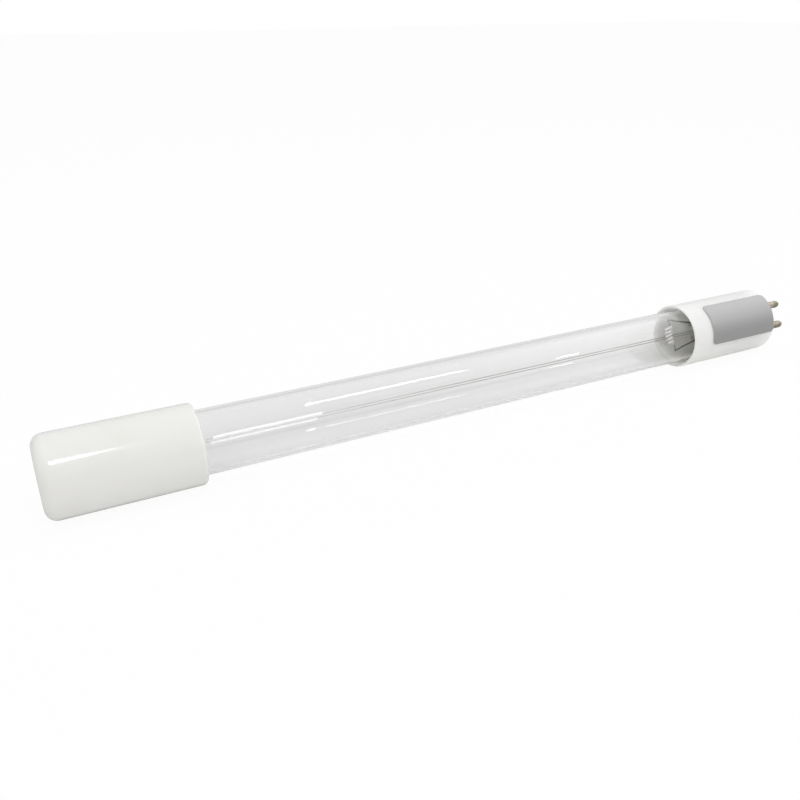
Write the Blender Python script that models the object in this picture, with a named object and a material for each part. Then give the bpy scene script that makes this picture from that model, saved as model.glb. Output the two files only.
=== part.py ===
# A single-ended ultraviolet germicidal lamp, lying on its side on its two ceramic ends.
#
# The lamp's axis runs along +X, from the closed end cap to the base with its four pins.
# A clear glass tube is closed at each end by a flared glass stem, which carries a coiled
# cathode on two leads. Two return wires run along the back of the tube, so that both
# cathodes are fed from the pins at one end.

import bpy
import bmesh
from math import cos, pi, radians, sin
from mathutils import Vector

MM = 0.001

# Overall
LAMP_LENGTH = 212.0 * MM        # closed end to the face that the pins stand on
FRONT_ANGLE = 25.0              # degrees that the front pair of pins is turned up from level
SIDES = 48                      # flats round each large turned piece
PIN_SIDES = 20
HOLE_SIDES = 16
STEM_SIDES = 32
CLEARANCE = 0.3 * MM            # between pieces that meet
THIN_CLEARANCE = 0.12 * MM      # between the layers wrapped round the tube

# Glass tube
TUBE_DIAMETER = 15.5 * MM
TUBE_WALL = 1.0 * MM
TUBE_EDGE = 0.3 * MM            # fire-polished edge

# Closed ceramic end cap
END_CAP_WALL = 1.46 * MM
END_CAP_LENGTH = 34.9 * MM
END_CAP_FLOOR = 2.5 * MM
END_CAP_CORNER = 2.8 * MM       # round between the side and the closed end
END_CAP_LIP = 0.8 * MM          # round of the mouth's outer edge
END_CAP_CHAMFER = 0.3 * MM      # at the bore's edge
END_WIRING_SPACE = 2.5 * MM     # between the cap's floor and the glass

# Ceramic base
BASE_WALL = 1.03 * MM
BASE_LENGTH = 32.3 * MM
BASE_FLOOR = 4.0 * MM
BASE_CORNER = 0.4 * MM          # round between the side and the pin face
BASE_LIP = 0.4 * MM             # round of the mouth's outer edge
BASE_FLARE = 0.6 * MM           # the bore widens by this at the mouth
BASE_FLARE_LENGTH = 1.2 * MM
BASE_WIRING_SPACE = 3.0 * MM    # between the glass and the base's floor

# Contact pins, at the corners of a rectangle
PIN_DIAMETER = 2.2 * MM
PIN_REACH = 8.6 * MM            # from the base's face to the tip
PIN_PITCH_ALONG = 6.35 * MM     # between the two pins of the front pair
PIN_PITCH_ACROSS = 7.92 * MM    # between the front pair and the back pair
PIN_BORE = 1.1 * MM
PIN_FLANGE_DIAMETER = 3.4 * MM
PIN_FLANGE_THICKNESS = 0.6 * MM
PIN_WIRE_DEPTH = 3.0 * MM       # length of wire inside the pin
PIN_FLOOR = 2.0 * MM            # solid tip beyond the bore

# Label
LABEL_START = -28.0             # degrees round the base from the front
LABEL_END = 49.0
LABEL_THICKNESS = 0.15 * MM
LABEL_GAP = 0.05 * MM
LABEL_FROM_MOUTH = 7.1 * MM
LABEL_FROM_FACE = 0.45 * MM

# Glass stems
STEM_LENGTH = 13.5 * MM         # from the tube's end to the top of the press
STEM_TUBE_DIAMETER = 7.4 * MM
STEM_WALL = 0.8 * MM
FLARE_LENGTH = 5.0 * MM
PRESS_LENGTH = 5.0 * MM
PRESS_THICKNESS = 2.6 * MM
EXHAUST_DIAMETER = 2.2 * MM
EXHAUST_BORE = 0.9 * MM
EXHAUST_REACH = 1.2 * MM        # past the end of the glass tube
PRESS_ROUND = 0.4 * MM
FLARE_STEPS = 4

# Leads and cathodes
LEAD_DIAMETER = 0.5 * MM
LEAD_SPACING = 4.1 * MM         # between the two leads in the press
LEAD_HOLE_CLEARANCE = 0.15 * MM
LEAD_STRAIGHT = 1.0 * MM        # that stands square out of the press
UPPER_LEAD_LENGTH = 13.0 * MM   # from the press to the lead's tip
LOWER_LEAD_LENGTH = 12.1 * MM
UPPER_POST = 4.6 * MM           # from the axis to the tip of the upper lead
LOWER_POST = 4.15 * MM
COIL_STRAND = 0.6 * MM          # the coated coil's own thickness
COIL_WIRE = 0.25 * MM           # the bare ends
COIL_DIAMETER = 2.1 * MM        # over the turns
COIL_TURNS = 5
COIL_TOP = 2.8 * MM             # the coil's first and last turn, from the axis
COIL_BOTTOM = -2.2 * MM
COIL_AHEAD = 0.8 * MM           # coil's centre line, ahead of the upper lead's tip
COIL_BOW = 0.4 * MM
COIL_STEPS = 12                 # points in a turn
TAIL = 0.6 * MM                 # of wire past the lead's tip

# Return wires
RETURN_WIRE_DIAMETER = 0.3 * MM
RETURN_WIRE_PITCH = 0.75 * MM
RETURN_WIRES_BELOW = 0.4 * MM   # the pair's middle, below the middle of the tube's back
WIRE_BEND = 0.9 * MM
BEND_STEPS = 4

# Basing cement
CEMENT_LENGTH = 10.0 * MM
CEMENT_FROM_GLASS_END = 2.0 * MM
CEMENT_OPEN_ANGLE = 12.0        # degrees each side of the back, left open for the wires
CEMENT_STEPS = 40
LABEL_STEPS = 14
CUT_PAST = 1.0 * MM             # that a cutter runs past what it cuts

# Sizes and places that follow from these
TUBE_RADIUS = TUBE_DIAMETER / 2
TUBE_BORE_RADIUS = TUBE_RADIUS - TUBE_WALL
TUBE_START = END_CAP_FLOOR + END_WIRING_SPACE
TUBE_END = LAMP_LENGTH - BASE_FLOOR - BASE_WIRING_SPACE
WIRE_ROUTE_RADIUS = TUBE_RADIUS + THIN_CLEARANCE + RETURN_WIRE_DIAMETER / 2
CERAMIC_BORE_RADIUS = WIRE_ROUTE_RADIUS + RETURN_WIRE_DIAMETER / 2 + THIN_CLEARANCE
END_CAP_RADIUS = CERAMIC_BORE_RADIUS + END_CAP_WALL
BASE_RADIUS = CERAMIC_BORE_RADIUS + BASE_WALL
BASE_MOUTH = LAMP_LENGTH - BASE_LENGTH
BASE_FLOOR_START = LAMP_LENGTH - BASE_FLOOR
OVERALL_LENGTH = LAMP_LENGTH + PIN_REACH
AXIS_HEIGHT = END_CAP_RADIUS * cos(pi / SIDES)
PIN_INNER_END = BASE_FLOOR_START - CLEARANCE - PIN_FLANGE_THICKNESS
FULL_TURN = 2 * pi


def clear_scene():
    """Empty the file of whatever it opened with."""
    for old in list(bpy.data.objects):
        bpy.data.objects.remove(old, do_unlink=True)


def material(name, colour, roughness, metallic=0.0, transmission=0.0):
    """A plain Principled material."""
    made = bpy.data.materials.new(name)
    made.use_nodes = True
    shader = made.node_tree.nodes["Principled BSDF"]
    shader.inputs["Base Color"].default_value = (*colour, 1.0)
    shader.inputs["Roughness"].default_value = roughness
    shader.inputs["Metallic"].default_value = metallic
    shader.inputs["Transmission Weight"].default_value = transmission
    return made


def finish(obj, finish_material, parent, smooth_angle=30.0):
    """Give an object its material and its parent, and shade it as a round piece."""
    obj.data.materials.append(finish_material)
    obj.parent = parent
    if obj.type == "MESH":
        obj.data.shade_smooth()
        obj.data.set_sharp_from_angle(angle=radians(smooth_angle))
    return obj


def object_from(bm, name):
    """Turn a finished bmesh into an object, with its doubles merged and its faces out."""
    bmesh.ops.remove_doubles(bm, verts=bm.verts, dist=1e-7)
    bmesh.ops.recalc_face_normals(bm, faces=bm.faces)
    mesh = bpy.data.meshes.new(name)
    bm.to_mesh(mesh)
    bm.free()
    obj = bpy.data.objects.new(name, mesh)
    bpy.context.collection.objects.link(obj)
    return obj


def arc(centre_x, centre_r, radius, start, end, steps):
    """Points of an arc in a turned profile, as (x, r), angles in degrees from +X."""
    points = []
    for i in range(steps + 1):
        angle = radians(start + (end - start) * i / steps)
        points.append((centre_x + radius * cos(angle), centre_r + radius * sin(angle)))
    return points


def turned(name, profile, sides, closed_profile=False):
    """Spin a profile of (x, r) points round the X axis, with a flat facing straight down."""
    bm = bmesh.new()
    half_flat = pi / sides
    down = Vector((0.0, sin(half_flat), -cos(half_flat)))
    ring = [bm.verts.new(Vector((x, 0.0, 0.0)) + down * r) for x, r in profile]
    edges = [bm.edges.new(pair) for pair in zip(ring, ring[1:])]
    if closed_profile:
        edges.append(bm.edges.new((ring[-1], ring[0])))
    bmesh.ops.spin(bm, geom=ring + edges, cent=(0, 0, 0), axis=(1, 0, 0), angle=FULL_TURN,
                   steps=sides, use_merge=True)
    return object_from(bm, name)


def curved_plate(name, inner, outer, start, end, x_start, x_end, steps):
    """A plate bent round the X axis, between two angles in degrees from the front."""
    bm = bmesh.new()
    inner_corner = inner / cos(radians((end - start) / steps / 2))
    corners = []
    for radius, order in ((outer, range(steps + 1)), (inner_corner, range(steps, -1, -1))):
        for i in order:
            angle = radians(start + (end - start) * i / steps)
            corners.append(bm.verts.new((x_start, -radius * cos(angle), radius * sin(angle))))
    face = bm.faces.new(corners)
    grown = bmesh.ops.extrude_face_region(bm, geom=[face])["geom"]
    moved = [v for v in grown if isinstance(v, bmesh.types.BMVert)]
    bmesh.ops.translate(bm, verts=moved, vec=(x_end - x_start, 0, 0))
    return object_from(bm, name)


def rounded_route(corners, bend):
    """A route through corner points, with each corner rounded by a short curve."""
    points = [Vector(corners[0])]
    for before, corner, after in zip(corners, corners[1:], corners[2:]):
        corner = Vector(corner)
        back = Vector(before) - corner
        ahead = Vector(after) - corner
        cut = min(bend, back.length * 0.45, ahead.length * 0.45)
        first = corner + back.normalized() * cut
        last = corner + ahead.normalized() * cut
        for i in range(BEND_STEPS + 1):
            t = i / BEND_STEPS
            points.append(first * (1 - t) ** 2 + corner * 2 * t * (1 - t) + last * t ** 2)
    points.append(Vector(corners[-1]))
    return points


def wire(name, points, diameter, shares=None):
    """A round wire along a list of points; shares scale its thickness point by point."""
    curve = bpy.data.curves.new(name, "CURVE")
    curve.dimensions = "3D"
    curve.bevel_depth = diameter / 2
    curve.bevel_resolution = 2
    curve.use_fill_caps = True
    spline = curve.splines.new("POLY")
    spline.points.add(len(points) - 1)
    for i, point in enumerate(points):
        spline.points[i].co = (*point, 1.0)
        if shares:
            spline.points[i].radius = shares[i]
    obj = bpy.data.objects.new(name, curve)
    bpy.context.collection.objects.link(obj)
    return obj


def cut_round_holes(obj, holes, parent):
    """Cut round holes along X, each given by y, z, radius, start and end."""
    for i, (y, z, radius, x_start, x_end) in enumerate(holes):
        cutter = turned(f"{obj.name}_hole_{i + 1}", [(x_start, 0.0), (x_start, radius), (x_end, radius),
                                                    (x_end, 0.0)], HOLE_SIDES)
        cutter.location = (0.0, y, z)
        cutter.parent = parent
        cutter.hide_render = True
        cutter.display_type = "WIRE"
        cut = obj.modifiers.new(f"hole_{i + 1}", "BOOLEAN")
        cut.operation = "DIFFERENCE"
        cut.solver = "EXACT"
        cut.object = cutter


def make_glass_tube(parent, glass):
    """The clear tube, open at both ends, with fire-polished edges."""
    outer_edge = TUBE_RADIUS - TUBE_EDGE
    inner_edge = TUBE_BORE_RADIUS + TUBE_EDGE
    profile = [(TUBE_START, inner_edge), (TUBE_START, outer_edge), (TUBE_START + TUBE_EDGE, TUBE_RADIUS),
               (TUBE_END - TUBE_EDGE, TUBE_RADIUS), (TUBE_END, outer_edge), (TUBE_END, inner_edge),
               (TUBE_END - TUBE_EDGE, TUBE_BORE_RADIUS), (TUBE_START + TUBE_EDGE, TUBE_BORE_RADIUS)]
    finish(turned("glass_tube", profile, SIDES, closed_profile=True), glass, parent)


def make_end_cap(parent, ceramic):
    """The closed cap: a thick-bottomed ceramic cup with a well-rounded end."""
    radius = END_CAP_RADIUS
    profile = [(0.0, 0.0)]
    profile += arc(END_CAP_CORNER, radius - END_CAP_CORNER, END_CAP_CORNER, 180, 90, 5)
    profile += arc(END_CAP_LENGTH - END_CAP_LIP, radius - END_CAP_LIP, END_CAP_LIP, 90, 0, 3)
    profile += [(END_CAP_LENGTH, CERAMIC_BORE_RADIUS + END_CAP_CHAMFER),
                (END_CAP_LENGTH - END_CAP_CHAMFER, CERAMIC_BORE_RADIUS),
                (END_CAP_FLOOR, CERAMIC_BORE_RADIUS), (END_CAP_FLOOR, 0.0)]
    cap = finish(turned("end_cap", profile, SIDES), ceramic, parent)
    cap.rotation_euler.x = radians(FRONT_ANGLE)


def pin_places():
    """The four pins' names and places, front pair first, as seen with the front pair facing -Y."""
    across = PIN_PITCH_ACROSS / 2
    along = PIN_PITCH_ALONG / 2
    return {"front_upper": (-across, along), "front_lower": (-across, -along),
            "back_upper": (across, along), "back_lower": (across, -along)}


def make_base(parent, ceramic):
    """The base: a ceramic cup with a thick floor, through which the four pins pass."""
    radius = BASE_RADIUS
    profile = [(BASE_FLOOR_START, 0.0), (BASE_FLOOR_START, CERAMIC_BORE_RADIUS),
               (BASE_MOUTH + BASE_FLARE_LENGTH, CERAMIC_BORE_RADIUS),
               (BASE_MOUTH, CERAMIC_BORE_RADIUS + BASE_FLARE)]
    profile += arc(BASE_MOUTH + BASE_LIP, radius - BASE_LIP, BASE_LIP, 180, 90, 4)
    profile += arc(LAMP_LENGTH - BASE_CORNER, radius - BASE_CORNER, BASE_CORNER, 90, 0, 3)
    profile += [(LAMP_LENGTH, 0.0)]
    base = finish(turned("base_shell", profile, SIDES), ceramic, parent)
    base.rotation_euler.x = radians(FRONT_ANGLE)
    hole_radius = PIN_DIAMETER / 2 + THIN_CLEARANCE
    holes = [(y, z, hole_radius, BASE_FLOOR_START - CUT_PAST, LAMP_LENGTH + CUT_PAST)
             for y, z in pin_places().values()]
    cut_round_holes(base, holes, parent)


def make_pins(parent, brass):
    """Four hollow pins with bullet tips, each held by a flange behind the base's floor."""
    radius = PIN_DIAMETER / 2
    tip = LAMP_LENGTH + PIN_REACH
    profile = [(tip - PIN_FLOOR, 0.0), (tip - PIN_FLOOR, PIN_BORE / 2), (PIN_INNER_END, PIN_BORE / 2),
               (PIN_INNER_END, PIN_FLANGE_DIAMETER / 2),
               (PIN_INNER_END + PIN_FLANGE_THICKNESS, PIN_FLANGE_DIAMETER / 2),
               (PIN_INNER_END + PIN_FLANGE_THICKNESS, radius)]
    profile += arc(tip - radius, 0.0, radius, 90, 0, 4)
    for place, (y, z) in pin_places().items():
        pin = finish(turned(f"contact_pin_{place}", profile, PIN_SIDES), brass, parent, smooth_angle=40.0)
        pin.location = (0.0, y, z)


def make_label(parent, film):
    """A thin film label on the front of the base."""
    inner = BASE_RADIUS + LABEL_GAP
    label = curved_plate("rating_label", inner, inner + LABEL_THICKNESS, LABEL_START, LABEL_END,
                         BASE_MOUTH + LABEL_FROM_MOUTH, LAMP_LENGTH - LABEL_FROM_FACE, LABEL_STEPS)
    finish(label, film, parent)


def make_cement(parent, cement):
    """The bonding cement between the glass and each ceramic end, open where the wires pass."""
    start = -180.0 + CEMENT_OPEN_ANGLE
    inner = TUBE_RADIUS + THIN_CLEARANCE
    outer = CERAMIC_BORE_RADIUS * cos(pi / SIDES) - THIN_CLEARANCE
    end_start = TUBE_START + CEMENT_FROM_GLASS_END
    base_start = TUBE_END - CEMENT_FROM_GLASS_END - CEMENT_LENGTH
    for name, x_start in (("end_cap_cement", end_start), ("base_cement", base_start)):
        ring = curved_plate(name, inner, outer, start, -start, x_start, x_start + CEMENT_LENGTH, CEMENT_STEPS)
        finish(ring, cement, parent)


def stem_ring(bm, x, width, thickness):
    """One ring of a stem, an ellipse across X."""
    ring = []
    for i in range(STEM_SIDES):
        angle = FULL_TURN * i / STEM_SIDES
        ring.append(bm.verts.new((x, thickness / 2 * cos(angle), width / 2 * sin(angle))))
    return ring


def make_stem(name, parent, glass):
    """A stem: flared glass tube, flat press round the leads, and a sealed exhaust tube behind.

    It is modelled with the tube's end at x = 0 and the press towards -X.
    """
    bm = bmesh.new()
    flare_radius = TUBE_BORE_RADIUS - CLEARANCE
    outer = STEM_TUBE_DIAMETER / 2
    inner = outer - STEM_WALL
    press_top = -STEM_LENGTH
    press_foot = press_top + PRESS_LENGTH
    rings = [(press_top, 2 * outer - 2 * PRESS_ROUND, PRESS_THICKNESS - 2 * PRESS_ROUND),
             (press_top + PRESS_ROUND, 2 * outer, PRESS_THICKNESS),
             (press_foot - outer / 2, 2 * outer, PRESS_THICKNESS),
             (press_foot, 2 * outer, 2 * outer)]
    flare = []
    for i in range(FLARE_STEPS + 1):
        angle = pi / 2 * i / FLARE_STEPS
        flare.append((-FLARE_LENGTH * cos(angle), sin(angle) ** 3))
    for x, share in flare:
        radius = outer + (flare_radius - outer) * share
        rings.append((x - CLEARANCE, 2 * radius, 2 * radius))
    for x, share in reversed(flare):
        radius = inner + (flare_radius - STEM_WALL - inner) * share
        rings.append((x - CLEARANCE, 2 * radius, 2 * radius))
    well = press_foot + STEM_WALL
    tip_start = EXHAUST_REACH - EXHAUST_DIAMETER / 2
    rings += [(well, 2 * inner, 2 * inner), (well, EXHAUST_DIAMETER, EXHAUST_DIAMETER),
              (tip_start, EXHAUST_DIAMETER, EXHAUST_DIAMETER),
              (EXHAUST_REACH, EXHAUST_DIAMETER / 2, EXHAUST_DIAMETER / 2)]
    made = [stem_ring(bm, *ring) for ring in rings]
    for ring, following in zip(made, made[1:]):
        for i in range(STEM_SIDES):
            j = (i + 1) % STEM_SIDES
            bm.faces.new((ring[i], ring[j], following[j], following[i]))
    bm.faces.new(made[0])
    bm.faces.new(made[-1])
    stem = finish(object_from(bm, name), glass, parent)
    lead_hole = LEAD_DIAMETER / 2 + LEAD_HOLE_CLEARANCE
    holes = [(0.0, side * LEAD_SPACING / 2, lead_hole, press_top - CUT_PAST, well + CUT_PAST) for side in (1, -1)]
    holes.append((0.0, 0.0, EXHAUST_BORE / 2, press_top - CUT_PAST, EXHAUST_REACH - EXHAUST_DIAMETER))
    cut_round_holes(stem, holes, parent)


def make_cathode(name, parent, tungsten):
    """A coated coil between the two leads' tips, with its bare ends clamped at the tips."""
    clamp_ahead = STEM_LENGTH + CLEARANCE + COIL_WIRE / 2
    upper_x = -clamp_ahead - UPPER_LEAD_LENGTH
    lower_x = -clamp_ahead - LOWER_LEAD_LENGTH
    centre_x = -STEM_LENGTH - UPPER_LEAD_LENGTH - COIL_AHEAD
    helix_radius = (COIL_DIAMETER - COIL_STRAND) / 2
    bare = COIL_WIRE / COIL_STRAND
    count = COIL_TURNS * COIL_STEPS
    points = [Vector((upper_x, 0.0, UPPER_POST + TAIL)), Vector((upper_x, 0.0, UPPER_POST - TAIL))]
    shares = [bare, bare]
    for i in range(count + 1):
        t = i / count
        angle = FULL_TURN * COIL_TURNS * t
        bow = COIL_BOW * sin(pi * t)
        x = centre_x - bow + helix_radius * cos(angle)
        y = -helix_radius * sin(angle)
        points.append(Vector((x, y, COIL_TOP + (COIL_BOTTOM - COIL_TOP) * t)))
        shares.append(1.0)
    points += [Vector((lower_x, 0.0, -LOWER_POST + TAIL)), Vector((lower_x, 0.0, -LOWER_POST - TAIL))]
    shares += [bare, bare]
    finish(wire(name, points, COIL_STRAND, shares), tungsten, parent)


def lead_points(side, beyond):
    """A lead from its tip at the cathode, through the press, to the corners given beyond the glass."""
    reach, length = (UPPER_POST, UPPER_LEAD_LENGTH) if side > 0 else (LOWER_POST, LOWER_LEAD_LENGTH)
    press_top = -STEM_LENGTH
    at_press = side * LEAD_SPACING / 2
    corners = [(press_top - length, 0.0, side * reach), (press_top - LEAD_STRAIGHT, 0.0, at_press),
               (-FLARE_LENGTH, 0.0, at_press)] + beyond
    return rounded_route(corners, WIRE_BEND)


def make_leads(base_end, cap_end, parent, nickel):
    """Two leads at each end: the base's go into the front pins, the cap's out to the back of the tube."""
    clear_of_flange = WIRE_BEND
    for side, place in ((1, "upper"), (-1, "lower")):
        y, z = pin_places()[f"front_{place}"]
        inside = PIN_INNER_END - TUBE_END
        beyond = [(0.0, 0.0, side * LEAD_SPACING / 2), (inside - clear_of_flange / 2, y, z),
                  (inside + PIN_WIRE_DEPTH, y, z)]
        finish(wire(f"base_lead_{place}", lead_points(side, beyond), LEAD_DIAMETER), nickel, base_end)
        turn_x = END_WIRING_SPACE / 2
        half_way = TUBE_BORE_RADIUS / 2
        beyond = [(turn_x, 0.0, side * LEAD_SPACING / 2), (turn_x, -half_way, side * LEAD_SPACING / 2)]
        finish(wire(f"end_lead_{place}", lead_points(side, beyond), LEAD_DIAMETER), nickel, cap_end)


def make_return_wires(parent, nickel):
    """Two wires along the back of the tube, from the end cap's leads to the back pins."""
    for side, place in ((1, "upper"), (-1, "lower")):
        y, z = pin_places()[f"back_{place}"]
        along = side * RETURN_WIRE_PITCH / 2 - RETURN_WIRES_BELOW
        start_x = TUBE_START - END_WIRING_SPACE / 2
        start_y = TUBE_BORE_RADIUS / 2 + CLEARANCE
        across_x = (TUBE_END + PIN_INNER_END) / 2 - RETURN_WIRE_DIAMETER
        corners = [(start_x, start_y, side * LEAD_SPACING / 2), (start_x, WIRE_ROUTE_RADIUS, along),
                   (across_x, WIRE_ROUTE_RADIUS, along), (across_x, y, z),
                   (PIN_INNER_END + PIN_WIRE_DEPTH, y, z)]
        finish(wire(f"return_wire_{place}", rounded_route(corners, WIRE_BEND), RETURN_WIRE_DIAMETER), nickel, parent)


def main():
    clear_scene()
    glass = material("clear_glass", (0.93, 0.95, 0.95), 0.05, transmission=1.0)
    ceramic = material("glazed_ceramic", (0.84, 0.84, 0.82), 0.2)
    brass = material("tarnished_brass", (0.42, 0.35, 0.22), 0.4, metallic=1.0)
    nickel = material("nickel_wire", (0.55, 0.53, 0.49), 0.35, metallic=1.0)
    film = material("silver_film", (0.5, 0.5, 0.49), 0.45, metallic=0.3)
    tungsten = material("coated_tungsten", (0.72, 0.68, 0.7), 0.8)
    cement = material("bonding_cement", (0.7, 0.67, 0.58), 0.9)

    lamp_axis = bpy.data.objects.new("lamp_axis", None)
    bpy.context.collection.objects.link(lamp_axis)
    lamp_axis.location = (-OVERALL_LENGTH / 2, 0.0, AXIS_HEIGHT)
    lamp_axis.rotation_euler.x = radians(-FRONT_ANGLE)

    base_end = bpy.data.objects.new("base_glass_end", None)
    bpy.context.collection.objects.link(base_end)
    base_end.parent = lamp_axis
    base_end.location.x = TUBE_END

    cap_end = bpy.data.objects.new("cap_glass_end", None)
    bpy.context.collection.objects.link(cap_end)
    cap_end.parent = lamp_axis
    cap_end.location.x = TUBE_START
    cap_end.rotation_euler.z = pi

    make_glass_tube(lamp_axis, glass)
    make_end_cap(lamp_axis, ceramic)
    make_base(lamp_axis, ceramic)
    make_pins(lamp_axis, brass)
    make_label(lamp_axis, film)
    make_cement(lamp_axis, cement)
    make_stem("base_stem", base_end, glass)
    make_stem("end_stem", cap_end, glass)
    make_cathode("base_cathode", base_end, tungsten)
    make_cathode("end_cathode", cap_end, tungsten)
    make_leads(base_end, cap_end, lamp_axis, nickel)
    make_return_wires(lamp_axis, nickel)


main()
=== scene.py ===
# A single-ended ultraviolet germicidal lamp, lying on its side on a pale floor.
# Each section makes one piece of the lamp, in the order in which a maker puts it together.
# Lengths are in millimetres, and places along the lamp are measured from its closed end.

import bmesh
import bpy
from math import cos, pi, radians, sin, tau
from mathutils import Matrix, Vector


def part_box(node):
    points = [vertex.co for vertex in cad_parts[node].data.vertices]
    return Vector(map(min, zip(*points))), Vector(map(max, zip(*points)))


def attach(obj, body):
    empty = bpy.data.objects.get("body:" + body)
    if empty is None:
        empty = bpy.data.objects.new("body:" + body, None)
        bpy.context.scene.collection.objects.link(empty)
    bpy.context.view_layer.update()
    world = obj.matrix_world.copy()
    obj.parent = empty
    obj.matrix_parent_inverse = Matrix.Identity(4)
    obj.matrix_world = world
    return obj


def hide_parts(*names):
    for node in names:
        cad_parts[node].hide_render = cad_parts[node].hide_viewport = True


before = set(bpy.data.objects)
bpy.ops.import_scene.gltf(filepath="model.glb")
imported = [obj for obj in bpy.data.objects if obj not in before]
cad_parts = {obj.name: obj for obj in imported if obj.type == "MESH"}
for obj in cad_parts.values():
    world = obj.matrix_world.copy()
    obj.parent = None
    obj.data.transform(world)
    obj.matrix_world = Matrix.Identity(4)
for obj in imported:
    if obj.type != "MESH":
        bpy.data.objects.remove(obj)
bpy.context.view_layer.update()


# The glass tube
# A straight length of clear ultraviolet glass, drawn round, cut and fire-polished at both ends.
# The stems close it, and the two ceramic ends are cemented over it.

MM = 0.001
FRONT_TILT = 25.0           # degrees that the lamp is rolled back, so that its front pins look up
TUBE_RADIUS = 7.75
TUBE_BORE = 6.75
TUBE_EDGE = 0.4             # round of the fire-polished ends
ROUND_STEPS = 384           # round a large turned piece

cap_low, cap_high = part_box("end_cap")
closed_end = cap_low.x
lamp_place = (Matrix.Translation((closed_end, 0.0, (cap_low.z + cap_high.z) / 2))
              @ Matrix.Rotation(-radians(FRONT_TILT), 4, "X") @ Matrix.Scale(MM, 4))


def span(node):
    """Where a node starts and ends along the lamp."""
    low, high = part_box(node)
    return (low.x - closed_end) / MM, (high.x - closed_end) / MM


def quarter(along, out, radius, start, end, steps=8):
    """Points of a rounded corner in an outline, as (along, out), with its angles in degrees from along."""
    angles = [radians(start + (end - start) * i / steps) for i in range(steps + 1)]
    return [(along + radius * cos(angle), out + radius * sin(angle)) for angle in angles]


def turned(outline, steps=ROUND_STEPS, closed=False, centre=(0.0, 0.0)):
    """Spin an outline of (along, out) points round a line along the lamp."""
    bm = bmesh.new()
    y, z = centre
    line = [bm.verts.new((along, y, z + out)) for along, out in outline]
    edges = [bm.edges.new(pair) for pair in zip(line, line[1:])]
    if closed:
        edges.append(bm.edges.new((line[-1], line[0])))
    bmesh.ops.spin(bm, geom=line + edges, cent=(0.0, y, z), axis=(1, 0, 0), angle=tau, steps=steps,
                   use_merge=True)
    bmesh.ops.remove_doubles(bm, verts=bm.verts, dist=1e-4)
    return bm


def lamp_piece(bm, name, finish, slot, *nodes, sharp=35.0):
    """Put a finished shape in its place on the lamp, shaded smooth, instead of its plain solids."""
    bmesh.ops.recalc_face_normals(bm, faces=bm.faces)
    bmesh.ops.transform(bm, matrix=lamp_place, verts=bm.verts)
    mesh = bpy.data.meshes.new(name)
    bm.to_mesh(mesh)
    bm.free()
    mesh.shade_smooth()
    mesh.set_sharp_from_angle(angle=radians(sharp))
    mesh.materials.append(finish.material)
    piece = bpy.data.objects.new(name, mesh)
    bpy.context.scene.collection.objects.link(piece)
    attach(piece, "root")
    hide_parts(*nodes)
    return piece


class Signal:
    """A shader socket that takes part in plain arithmetic."""

    def __init__(self, finish, socket):
        self.finish = finish
        self.socket = socket

    def maths(self, operation, first, second):
        return self.finish.node("ShaderNodeMath", {"operation": operation}, {0: first, 1: second})

    def __add__(self, other):
        return self.maths("ADD", self, other)

    def __radd__(self, other):
        return self.maths("ADD", other, self)

    def __sub__(self, other):
        return self.maths("SUBTRACT", self, other)

    def __rsub__(self, other):
        return self.maths("SUBTRACT", other, self)

    def __mul__(self, other):
        return self.maths("MULTIPLY", self, other)

    def __rmul__(self, other):
        return self.maths("MULTIPLY", other, self)


class Finish:
    """The nodes of one finish, in a material or in the world."""

    def __init__(self, holder, output="ShaderNodeOutputMaterial"):
        self.material = holder
        holder.use_nodes = True
        self.tree = holder.node_tree
        self.tree.nodes.clear()
        self.output = self.tree.nodes.new(output)

    def node(self, kind, settings=None, inputs=None, output=0):
        """Add a node, with its settings first and then the values or links of its inputs."""
        made = self.tree.nodes.new(kind)
        for name, value in (settings or {}).items():
            setattr(made, name, value)
        for name, value in (inputs or {}).items():
            if isinstance(value, Signal):
                self.tree.links.new(value.socket, made.inputs[name])
            else:
                made.inputs[name].default_value = value
        return Signal(self, made.outputs[output])

    def place(self, stretch=(1.0, 1.0, 1.0)):
        """The point on the surface, in metres, stretched along each axis."""
        point = self.node("ShaderNodeTexCoord", output="Object")
        return self.node("ShaderNodeMapping", {}, {"Vector": point, "Scale": stretch})

    def cloud(self, size, detail=3.0, stretch=(1.0, 1.0, 1.0)):
        """Soft noise with blotches of about a size in millimetres, from 0 to 1."""
        inputs = {"Vector": self.place(stretch), "Scale": 1.0 / (size * MM), "Detail": detail}
        return self.node("ShaderNodeTexNoise", {}, inputs)

    def between(self, low, high, signal):
        """0 below one level of a signal and 1 above another, and smooth between them."""
        settings = {"interpolation_type": "SMOOTHSTEP", "clamp": True}
        inputs = {"Value": signal, "From Min": low, "From Max": high}
        return self.node("ShaderNodeMapRange", settings, inputs)

    def tint(self, share, first, second):
        """One colour passing into another."""
        return self.node("ShaderNodeMix", {"data_type": "RGBA"}, {0: share, 6: first, 7: second}, output=2)

    def relief(self, height, depth, strength=1.0):
        """A bump of a height from 0 to 1, of a depth in millimetres."""
        inputs = {"Height": height, "Distance": depth * MM, "Strength": strength}
        return self.node("ShaderNodeBump", {}, inputs)

    def on_rays(self, *kinds):
        """1 on rays of the given kinds, and 0 on others."""
        total = 0.0
        for kind in kinds:
            total = self.node("ShaderNodeLightPath", output=f"Is {kind} Ray") + total
        return self.node("ShaderNodeMath", {"operation": "MINIMUM"}, {0: total, 1: 1.0})

    def shader(self, inputs):
        return self.node("ShaderNodeBsdfPrincipled", {}, inputs)

    def ends_in(self, shader):
        self.tree.links.new(shader.socket, self.output.inputs["Surface"])
        return self


def new_finish(name):
    return Finish(bpy.data.materials.new(name))


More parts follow.
